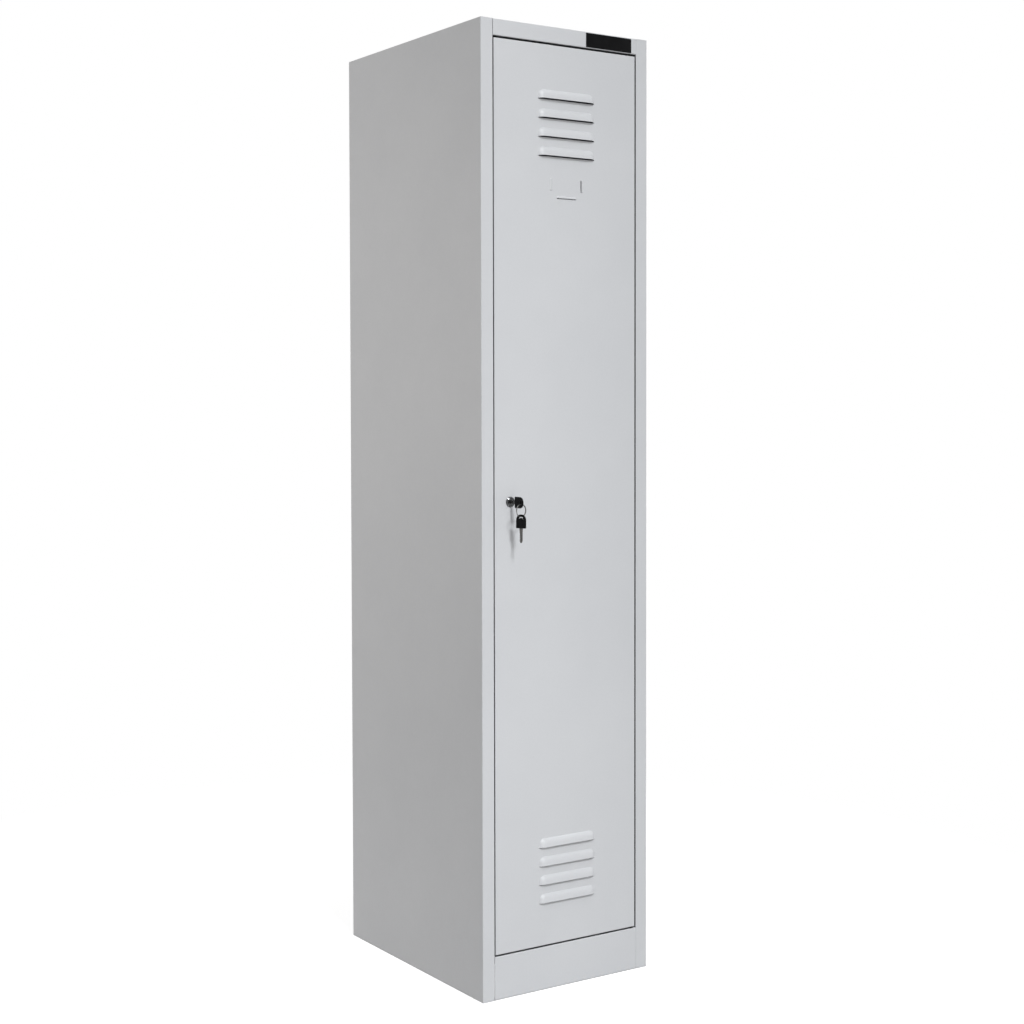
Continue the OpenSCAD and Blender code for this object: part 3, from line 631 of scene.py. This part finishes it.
class LOCKER_OT_name_plate(bpy.types.Operator):
    """Puts a blank name plate on the header"""

    bl_idname = "locker.name_plate"
    bl_label = "Name plate"

    def execute(self, context):
        s = context.scene.locker_plate
        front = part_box("top_panel")[0].y
        half_w, half_h = s.width / 2, s.height / 2
        outline = round_corners((-half_w, -half_h), (half_w, half_h), s.corner)
        placing = facing_front(s.centre[0], front - s.thickness / 2, s.centre[1])
        plate = cut_sheet([outline], s.thickness, s.rim, placing)
        new_piece("name_plate", mesh_of("name_plate", [plate]), "cabinet", "black_plastic", "plate")
        return {"FINISHED"}


class LOCKER_OT_back_rivets(bpy.types.Operator):
    """Sets domed blind rivets through the back"""

    bl_idname = "locker.back_rivets"
    bl_label = "Back rivets"

    def execute(self, context):
        grip = 2 * SHEET
        heads = []
        for low, high in solids_in("back_rivets"):
            radius = (high.x - low.x) / 2
            rise = high.y
            tail = -low.y - grip
            placing = facing_back((low.x + high.x) / 2, 0, (low.z + high.z) / 2)
            mandrel = [(0, 0.35 * rise), (0.27 * radius, 0.35 * rise), (0.30 * radius, 0.88 * rise),
                       (0.42 * radius, rise)]
            dome = half_dome(radius, rise, (60, 48, 36, 24, 12))
            brim = [(radius, 0.06 * rise), (radius, 0)]
            shank = [(0.5 * radius, 0), (0.5 * radius, -grip)]
            bulb = [(0.74 * radius, -grip - 0.2 * tail), (0.72 * radius, -grip - 0.7 * tail),
                    (0.55 * radius, -grip - tail), (0, -grip - tail)]
            heads.append(lathe(mandrel + dome + brim + shank + bulb, placing, 32))
        rivets = new_piece("blind_rivets", mesh_of("blind_rivets", heads), "cabinet", "paint")
        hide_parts("back_rivets")
        return {"FINISHED"}


class LOCKER_OT_buffers(bpy.types.Operator):
    """Pushes the rubber buffers into the door stop"""

    bl_idname = "locker.buffers"
    bl_label = "Door buffers"

    def execute(self, context):
        door_to_stop = 4 * MM
        soft = 0.8 * MM
        buttons = []
        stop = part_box("door_skin")[1].y + door_to_stop
        for low, high in solids_in("door_buffers"):
            radius = (high.x - low.x) / 2
            front = stop - low.y
            back = high.y - stop
            placing = facing_front((low.x + high.x) / 2, stop, (low.z + high.z) / 2)
            head = [(0, front)] + list(arc((radius - soft, front - soft), soft, 90, 0, 6))
            neck = [(radius, 0), (0.57 * radius, 0), (0.57 * radius, -SHEET)]
            bulb = [(0.8 * radius, -SHEET - 0.15 * MM), (0.84 * radius, -SHEET - 0.5 * MM),
                    (0.6 * radius, -back), (0, -back)]
            buttons.append(lathe(head + neck + bulb, placing, 40))
        piece = new_piece("rubber_buttons", mesh_of("rubber_buttons", buttons), "cabinet", "rubber")
        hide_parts("door_buffers")
        return {"FINISHED"}


class LOCKER_OT_socket_screws(bpy.types.Operator):
    """Fixes each rail socket with two pan head screws"""

    bl_idname = "locker.socket_screws"
    bl_label = "Socket screws"

    def execute(self, context):
        head_r, head_h, recess_r = 3.2 * MM, 1.8 * MM, 1.5 * MM
        base_t, from_middle = 2 * MM, 17.5 * MM
        recess = [(0, 0.45 * head_h), (recess_r, 0.55 * head_h), (recess_r, 0.95 * head_h),
                  (recess_r * 1.15, head_h)]
        profile = recess + half_dome(head_r, head_h, (55, 40, 25, 10)) + [(head_r, 0)]
        heads = []
        for node, side in (("rail_socket_left", 1), ("rail_socket_right", -1)):
            low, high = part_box(node)
            face = (low.x if side == 1 else high.x) + side * base_t
            turn = Matrix.Rotation(side * math.radians(90), 4, "Y")
            for step in (-1, 1):
                place = (face, (low.y + high.y) / 2, (low.z + high.z) / 2 + step * from_middle)
                heads.append(lathe(profile, Matrix.Translation(place) @ turn, 32))
        new_piece("socket_screws", mesh_of("socket_screws", heads), "cabinet", "zinc")
        return {"FINISHED"}


class LOCKER_OT_lock_case(bpy.types.Operator):
    """Makes the lock's dished bezel and threaded barrel"""

    bl_idname = "locker.lock_case"
    bl_label = "Lock case"

    def execute(self, context):
        s = context.scene.locker_lock
        low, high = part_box("lock_housing")
        x, z = middle("lock_housing").x, middle("lock_housing").z
        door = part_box("top_panel")[0].y
        outer = (high.x - low.x) / 2
        rise = door - low.y
        bore = size_of("lock_plug").x / 2 + s.running
        barrel, root = 8 * MM, -1.0 * MM
        crown, crown_r = outer - s.bevel_w, 0.6 * MM
        floor, floor_r = rise - s.dish, 0.25 * MM
        flank_in, flank_out, flank_drop, foot = 0.4 * MM, 0.1 * MM, 0.15 * MM, 0.15 * MM
        steep = 90 - math.degrees(s.bevel)
        slope_start = (crown + crown_r * math.sin(s.bevel),
                       rise - crown_r * (1 - math.cos(s.bevel)))
        slope_end = outer - s.rim_round * (1 - math.sin(s.bevel))
        drop = (slope_end - slope_start[0]) * math.tan(s.bevel)
        rim = (outer - s.rim_round, slope_start[1] - drop - s.rim_round * math.cos(s.bevel))
        bezel = [(bore, root), (bore, floor - floor_r)]
        bezel += list(arc((bore + floor_r, floor - floor_r), floor_r, 180, 90, 3))
        bezel += [(crown - flank_in, floor), (crown - flank_out, rise - flank_drop)]
        bezel += list(arc((crown, rise - crown_r), crown_r, 90, steep, 4))
        bezel += list(arc(rim, s.rim_round, steep, 0, 6))
        bezel += [(outer, foot), (outer - foot, 0), (barrel, 0), (barrel, root)]
        bezel += [bezel[0]]
        ring = lathe(bezel, facing_front(x, door, z), 96)
        bmesh.ops.remove_doubles(ring, verts=ring.verts, dist=WELD)
        case = new_piece("lock_case", mesh_of("lock_case", [ring]), "door", "chrome")
        thread = self.barrel(s, bore, barrel, high.y - door, facing_back(x, door, z))
        screw = new_piece("lock_barrel", mesh_of("lock_barrel", [thread]), "door", "zinc",
                          smooth=50.0)
        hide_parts("lock_housing")
        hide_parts("lock_housing")
        return {"FINISHED"}

    def barrel(self, s, bore, radius, length, placing):
        """Threaded sleeve from the door's face backwards."""
        made = bmesh.new()
        turns, per_pitch = 64, 8
        rows = int(length / s.thread_pitch * per_pitch)
        grid = []
        for row in range(rows + 1):
            height = length * row / rows
            line = []
            for i in range(turns):
                phase = (height / s.thread_pitch - i / turns) % 1.0
                groove = abs(2 * phase - 1)
                fade = min(1.0, (length - height) / s.thread_pitch)
                r = radius - s.thread_depth * (groove if fade == 1.0 else 1 - fade * (1 - groove))
                angle = 2 * math.pi * i / turns
                line.append(made.verts.new((r * math.cos(angle), r * math.sin(angle), height)))
            grid.append(line)
        inner = [[made.verts.new((bore * math.cos(2 * math.pi * i / turns),
                                  bore * math.sin(2 * math.pi * i / turns), height))
                  for i in range(turns)] for height in (length, 0)]
        grid += inner + [grid[0]]
        for one, two in zip(grid, grid[1:]):
            for i in range(turns):
                j = (i + 1) % turns
                made.faces.new((one[i], one[j], two[j], two[i]))
        made.transform(placing)
        return made


BOW = {"width": 20.8 * MM, "length": 25.5 * MM, "corner": 1.6 * MM,
       "hole_r": 4.4 * MM, "hole_in": 7.6 * MM, "bump_r": 2.8 * MM, "bump_drop": 1.3 * MM,
       "panel_from_hole": 3.3 * MM, "panel_from_side": 2.8 * MM, "panel_from_blade": 3.2 * MM,
       "panel_corner": 2 * MM, "lap": 0.8 * MM}
BLADE = {"length": 26.5 * MM, "thickness": 2 * MM, "tang": 1.0 * MM, "root_h": 7 * MM,
         "neck_in": 7 * MM, "neck_h": 5.6 * MM, "tip_in": 4 * MM, "tip_h": 4.4 * MM,
         "chamfer": 1 * MM, "teeth": 4, "pitch": 3.6 * MM, "cut": 1.1 * MM}
FLUTE = {"start": 1.0 * MM, "end": 23.1 * MM, "foot": 0.1 * MM, "lap": 0.4 * MM,
         "corner": 0.4 * MM}
SPARE_KEY_TURN = math.radians(-68)


def bow_outline():
    """Outline of a bow, flat at the origin and round towards -X."""
    r, corner = BOW["width"] / 2, BOW["corner"]
    points = list(arc((-BOW["length"] + r, 0), r, 90, 270, 40))
    points += list(arc((-corner, -r + corner), corner, 270, 360, 6))
    points += list(arc((-corner, r - corner), corner, 0, 90, 6))
    return points


def bow_hole():
    """Half-round hole with a bump in its straight side."""
    x = -BOW["length"] + BOW["hole_in"]
    r, bump, drop = BOW["hole_r"], BOW["bump_r"], BOW["bump_drop"]
    reach = math.degrees(math.acos(drop / bump))
    points = list(arc((x, 0), r, 90, 270, 24))
    points += list(arc((x + drop, 0), bump, 180 + reach, 180 - reach, 14))
    return points


def blade_outline():
    """Outline of a blade along +X from its root at the origin, with its bitting along one edge."""
    root, neck, tang = BLADE["root_h"] / 2, BLADE["neck_h"] / 2, BLADE["tang"]
    end, shoulder = BLADE["length"], BLADE["length"] - BLADE["tip_in"]
    tip = BLADE["tip_h"] / 2 - BLADE["chamfer"]
    pitch, cut = BLADE["pitch"], BLADE["cut"]
    points = [(end, tip), (shoulder, neck), (BLADE["neck_in"], neck), (0, root), (-tang, root),
              (-tang, -root), (0, -root), (BLADE["neck_in"], -neck)]
    for tooth in range(BLADE["teeth"]):
        at = BLADE["neck_in"] + pitch * (tooth + 1)
        points += [(at - 0.4 * pitch, -neck), (at - 0.1 * pitch, cut - neck),
                   (at + 0.1 * pitch, cut - neck), (at + 0.4 * pitch, -neck)]
    points += [(shoulder, -neck), (end, -tip)]
    return points[::-1]


def key_placings():
    """Places of the key in the lock and of the spare key on the ring, from their CAD bows."""
    low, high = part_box("key_bow")
    centre = (low + high) / 2
    in_lock = Matrix(((0, 0, 1, centre.x), (1, 0, 0, high.y), (0, 1, 0, centre.z), (0, 0, 0, 1)))
    low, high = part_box("spare_key_bow")
    centre = (low + high) / 2
    turn = Matrix.Rotation(SPARE_KEY_TURN, 4, "Z")
    hanging = Matrix(((0, 1, 0, 0), (0, 0, -1, 0), (-1, 0, 0, 0), (0, 0, 0, 1)))
    on_ring = Matrix.Translation((centre.x, centre.y, low.z)) @ turn @ hanging
    return {"key": in_lock, "spare_key": on_ring}


class LOCKER_OT_key_bows(bpy.types.Operator):
    """Moulds the bows of both keys, with a sunk panel on each face"""

    bl_idname = "locker.key_bows"
    bl_label = "Key bows"

    def execute(self, context):
        s = context.scene.locker_keys
        thickness = size_of("key_bow").x
        left = BOW["hole_in"] - BOW["length"] + BOW["panel_from_hole"]
        right = -BOW["panel_from_blade"]
        half = BOW["width"] / 2 - BOW["panel_from_side"]
        lap, corner = BOW["lap"], BOW["panel_corner"]
        panel = round_corners((left, -half), (right, half), corner)
        filled = round_corners((left - lap, -half - lap), (right + lap, half + lap),
                               corner + 0.25 * lap)
        for body, placing in key_placings().items():
            name = body + "_grip"
            shell = cut_sheet([bow_outline(), bow_hole(), panel], thickness, s.bow_round, placing,
                              4)
            web = cut_sheet([filled], thickness - 2 * s.panel_depth, 0.1 * MM, placing)
            bow = new_piece(name, mesh_of(name, [shell, web]), body, "black_plastic")
            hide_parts(body + "_bow")
        return {"FINISHED"}


class LOCKER_OT_key_blades(bpy.types.Operator):
    """Cuts the blades of both keys, with a milled flute along each side"""

    bl_idname = "locker.key_blades"
    bl_label = "Key blades"

    def execute(self, context):
        s = context.scene.locker_keys
        thickness = BLADE["thickness"]
        start, end, foot = FLUTE["start"], FLUTE["end"], FLUTE["foot"]
        lap, corner, crest = FLUTE["lap"], FLUTE["corner"], foot + s.flute_w
        flute = round_corners((start, foot), (end, crest), corner, 4)
        filled = round_corners((start - lap, foot - lap), (end + lap, crest + lap), corner, 4)
        for body, placing in key_placings().items():
            name = body + "_steel"
            sides = cut_sheet([blade_outline(), flute], thickness, 0.12 * MM, placing, 2)
            web = cut_sheet([filled], thickness - 2 * s.flute_depth, 0.05 * MM, placing, 1)
            blade = new_piece(name, mesh_of(name, [sides, web]), body, "key_metal")
            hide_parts(body + "_blade")
        return {"FINISHED"}


class LOCKER_OT_split_ring(bpy.types.Operator):
    """Winds the split ring from two turns of flat wire"""

    bl_idname = "locker.split_ring"
    bl_label = "Split ring"

    def execute(self, context):
        s = context.scene.locker_keys
        centre = middle("key_ring")
        height = size_of("key_ring").z
        axis = AXIS_OF["ring_swing"]
        yaw = math.atan2(axis[1], axis[0])
        wire = s.wire
        mean = (height - wire) / 2
        coil = wire / 2
        half_cross = s.cross_over / 2
        start, end = half_cross, 4 * math.pi - half_cross
        steps = 360
        made = bmesh.new()
        rings = []
        half_w, half_h = 0.48 * wire, 0.47 * coil
        section = round_corners((-half_w, -half_h), (half_w, half_h), 0.22 * coil, 3)
        for i in range(steps + 1):
            turn = start + (end - start) * i / steps
            share = min(1.0, max(0.0, (turn - 2 * math.pi + half_cross) / s.cross_over))
            lift = (share * share * (3 - 2 * share) - 0.5) * coil
            angle = turn + s.split_angle
            taper = min(1.0, 0.55 + 40 * min(turn - start, end - turn) / math.pi)
            ring = []
            for across, up in section:
                r = mean + across * taper
                ring.append(made.verts.new((r * math.cos(angle), lift + up, r * math.sin(angle))))
            rings.append(ring)
        for one, two in zip(rings, rings[1:]):
            for i in range(len(section)):
                j = (i + 1) % len(section)
                made.faces.new((one[i], one[j], two[j], two[i]))
        made.faces.new(rings[0])
        made.faces.new(rings[-1])
        made.transform(Matrix.Translation(centre) @ Matrix.Rotation(yaw, 4, "Z"))
        ring = new_piece("split_ring", mesh_of("split_ring", [made]), "ring", "key_metal")
        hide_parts("key_ring")
        return {"FINISHED"}


# ---- Studio ----


NEUTRAL, COOL, WARM = (1.0, 1.0, 1.0), (0.965, 0.985, 1.0), (1.0, 0.955, 0.90)
TOP_HEIGHT, TOP_SIDE, TOP_SPREAD = math.radians(68), math.radians(10), math.radians(50)
HEART = (0.0, -0.3, 0.9)
STILE = (-0.19, -0.3, 0.9)
# Each soft lamp's place, the point that it looks at, its width, its height and its colour.
SOFT_LAMPS = {
    "wall": ((-0.19, -1.1, 0.9), STILE, 0.1, 2.4, NEUTRAL),
    "side": ((-2.3, 1.3, 1.3), HEART, 1.5, 1.5, WARM),
    "rear": ((2.2, 1.8, 1.6), HEART, 2.0, 2.0, NEUTRAL),
}
FLOOR_RINGS = (0, 1.2, 2.5, 9.0)
FADE_START, FADE_END = 0.55, 1.5
FLOOR_GLOW = 0.72


def soft_lamp(name, power, place, aim, width, height, colour):
    """A large rectangular lamp that looks at a point."""
    lamp = bpy.data.lights.new(name, "AREA")
    lamp.shape = "RECTANGLE"
    lamp.size = width
    lamp.size_y = height
    lamp.energy = power
    lamp.color = colour
    holder = bpy.data.objects.new(name, lamp)
    holder.location = place
    holder.rotation_euler = (Vector(aim) - Vector(place)).to_track_quat("-Z", "Y").to_euler()
    bpy.context.scene.collection.objects.link(holder)
    return holder


def distant_light(name, height, side, spread, strength):
    """An even cool light from far away, by its elevation and its turn to the right of -Y."""
    lamp = bpy.data.lights.new(name, "SUN")
    lamp.energy = strength
    lamp.angle = spread
    lamp.color = COOL
    holder = bpy.data.objects.new(name, lamp)
    towards = Vector((math.cos(height) * math.sin(side), -math.cos(height) * math.cos(side),
                      math.sin(height)))
    holder.location = 4 * towards
    holder.rotation_euler = (-towards).to_track_quat("-Z", "Y").to_euler()
    bpy.context.scene.collection.objects.link(holder)
    return holder


def seen_or_shiny(tree):
    """One for the camera and for what metal and glass show, nought for the light itself."""
    path = tree.nodes.new("ShaderNodeLightPath")
    value = path.outputs["Is Camera Ray"]
    for other in ("Is Glossy Ray", "Is Transmission Ray"):
        most = tree.nodes.new("ShaderNodeMath")
        most.operation = "MAXIMUM"
        tree.links.new(value, most.inputs[0])
        tree.links.new(path.outputs[other], most.inputs[1])
        value = most.outputs["Value"]
    return value


def white_world(ambient):
    """Plain white all round for the camera, and an even soft light for the object."""
    world = bpy.data.worlds.new("studio")
    bpy.context.scene.world = world
    world.use_nodes = True
    tree = world.node_tree
    back = tree.nodes["Background"]
    back.inputs["Color"].default_value = (1.0, 1.0, 1.0, 1.0)
    level = tree.nodes.new("ShaderNodeMapRange")
    level.inputs["To Min"].default_value = ambient
    level.inputs["To Max"].default_value = 1.0
    tree.links.new(seen_or_shiny(tree), level.inputs["Value"])
    tree.links.new(level.outputs["Result"], back.inputs["Strength"])


def floor_paper():
    """Pale paper that keeps the object's shadow near it and fades to plain white further out."""
    f = Finish("floor_paper", Roughness=0.9, IOR=1.3)
    fibre = f.ranged(f.noise(2 * MM, 4.0, 0.6), 0.3, 0.7)
    f.drive("Base Color", f.mixed(fibre, (0.44, 0.44, 0.44), (0.48, 0.48, 0.48)))
    f.drive("Normal", f.bump(f.noise(1 * MM, 3.0), 0.02 * MM))
    distance = f.node("ShaderNodeVectorMath", {"operation": "LENGTH"})
    f.feed(distance.inputs[0], f.place)
    far = f.ranged(distance.outputs["Value"], FADE_START, FADE_END)
    white = f.node("ShaderNodeEmission", None, Color=(1.0, 1.0, 1.0, 1.0), Strength=1.0)
    glow = f.node("ShaderNodeEmission", None, Color=(1.0, 1.0, 1.0, 1.0))
    seen = seen_or_shiny(f.tree)
    f.feed(glow.inputs["Strength"], f.math("MULTIPLY", seen, FLOOR_GLOW))
    near = f.node("ShaderNodeAddShader")
    f.feed(near.inputs[0], f.shader.outputs["BSDF"])
    f.feed(near.inputs[1], glow.outputs["Emission"])
    whole = f.node("ShaderNodeMixShader")
    f.feed(whole.inputs["Fac"], f.math("MULTIPLY", far, seen))
    f.feed(whole.inputs[1], near.outputs["Shader"])
    f.feed(whole.inputs[2], white.outputs["Emission"])
    f.feed(f.tree.nodes["Material Output"].inputs["Surface"], whole.outputs["Shader"])
    return f.material


class LOCKER_OT_studio(bpy.types.Operator):
    """Sets the floor, the lamps and the camera"""

    bl_idname = "locker.studio"
    bl_label = "Studio"

    def execute(self, context):
        scene = context.scene
        s = scene.locker_studio
        disc = lathe([(radius, 0) for radius in FLOOR_RINGS], Matrix.Identity(4), 96)
        shape = bpy.data.meshes.new("floor")
        disc.to_mesh(shape)
        disc.free()
        floor = bpy.data.objects.new("floor", shape)
        scene.collection.objects.link(floor)
        shape.materials.append(floor_paper())
        distant_light("key_light", s.key_height, s.key_side, s.key_spread, s.key_strength)
        distant_light("top_light", TOP_HEIGHT, TOP_SIDE, TOP_SPREAD, s.top_strength)
        for name, lamp in SOFT_LAMPS.items():
            soft_lamp(name + "_lamp", getattr(s, name + "_power"), *lamp)
        white_world(s.ambient)
        lens = bpy.data.cameras.new("camera")
        lens.lens = s.lens
        lens.sensor_width = 36.0
        lens.shift_y = s.shift
        camera = bpy.data.objects.new("camera", lens)
        camera.location = s.camera
        level = Euler((math.radians(90) - s.tilt, 0.0, s.turn)).to_matrix()
        camera.rotation_euler = (level @ Matrix.Rotation(s.roll, 3, "Z")).to_euler()
        scene.collection.objects.link(camera)
        scene.camera = camera
        scene.view_settings.view_transform = "Standard"
        return {"FINISHED"}


# ---- Panel ----


OPERATORS = (
    LOCKER_OT_studio,
    LOCKER_OT_finish_frame,
    LOCKER_OT_name_plate,
    LOCKER_OT_back_rivets,
    LOCKER_OT_buffers,
    LOCKER_OT_socket_screws,
    LOCKER_OT_lock_case,
    LOCKER_OT_key_bows,
    LOCKER_OT_key_blades,
    LOCKER_OT_split_ring,
)


class LOCKER_PT_sidebar(bpy.types.Panel):
    """Lists the settings and the pieces"""

    bl_idname = "LOCKER_PT_sidebar"
    bl_label = "Locker cabinet"
    bl_space_type = "VIEW_3D"
    bl_region_type = "UI"
    bl_category = "Locker"

    def draw(self, context):
        for key, group in SETTINGS.items():
            box = self.layout.box()
            box.label(text=group.__doc__)
            for name in group.__annotations__:
                box.prop(getattr(context.scene, key), name)
        for operator in OPERATORS:
            self.layout.operator(operator.bl_idname)


def register():
    for group in SETTINGS.values():
        bpy.utils.register_class(group)
    for key, group in SETTINGS.items():
        setattr(bpy.types.Scene, key, PointerProperty(type=group))
    for operator in OPERATORS:
        bpy.utils.register_class(operator)
    bpy.utils.register_class(LOCKER_PT_sidebar)


def unregister():
    bpy.utils.unregister_class(LOCKER_PT_sidebar)
    for operator in reversed(OPERATORS):
        bpy.utils.unregister_class(operator)
    for key in SETTINGS:
        delattr(bpy.types.Scene, key)
    for group in reversed(list(SETTINGS.values())):
        bpy.utils.unregister_class(group)


def main():
    """Registers the add-on and makes every piece."""
    register()
    for operator in OPERATORS:
        family, call = operator.bl_idname.split(".")
        getattr(getattr(bpy.ops, family), call)()
    bpy.context.view_layer.update()


if __name__ == "__main__":
    main()
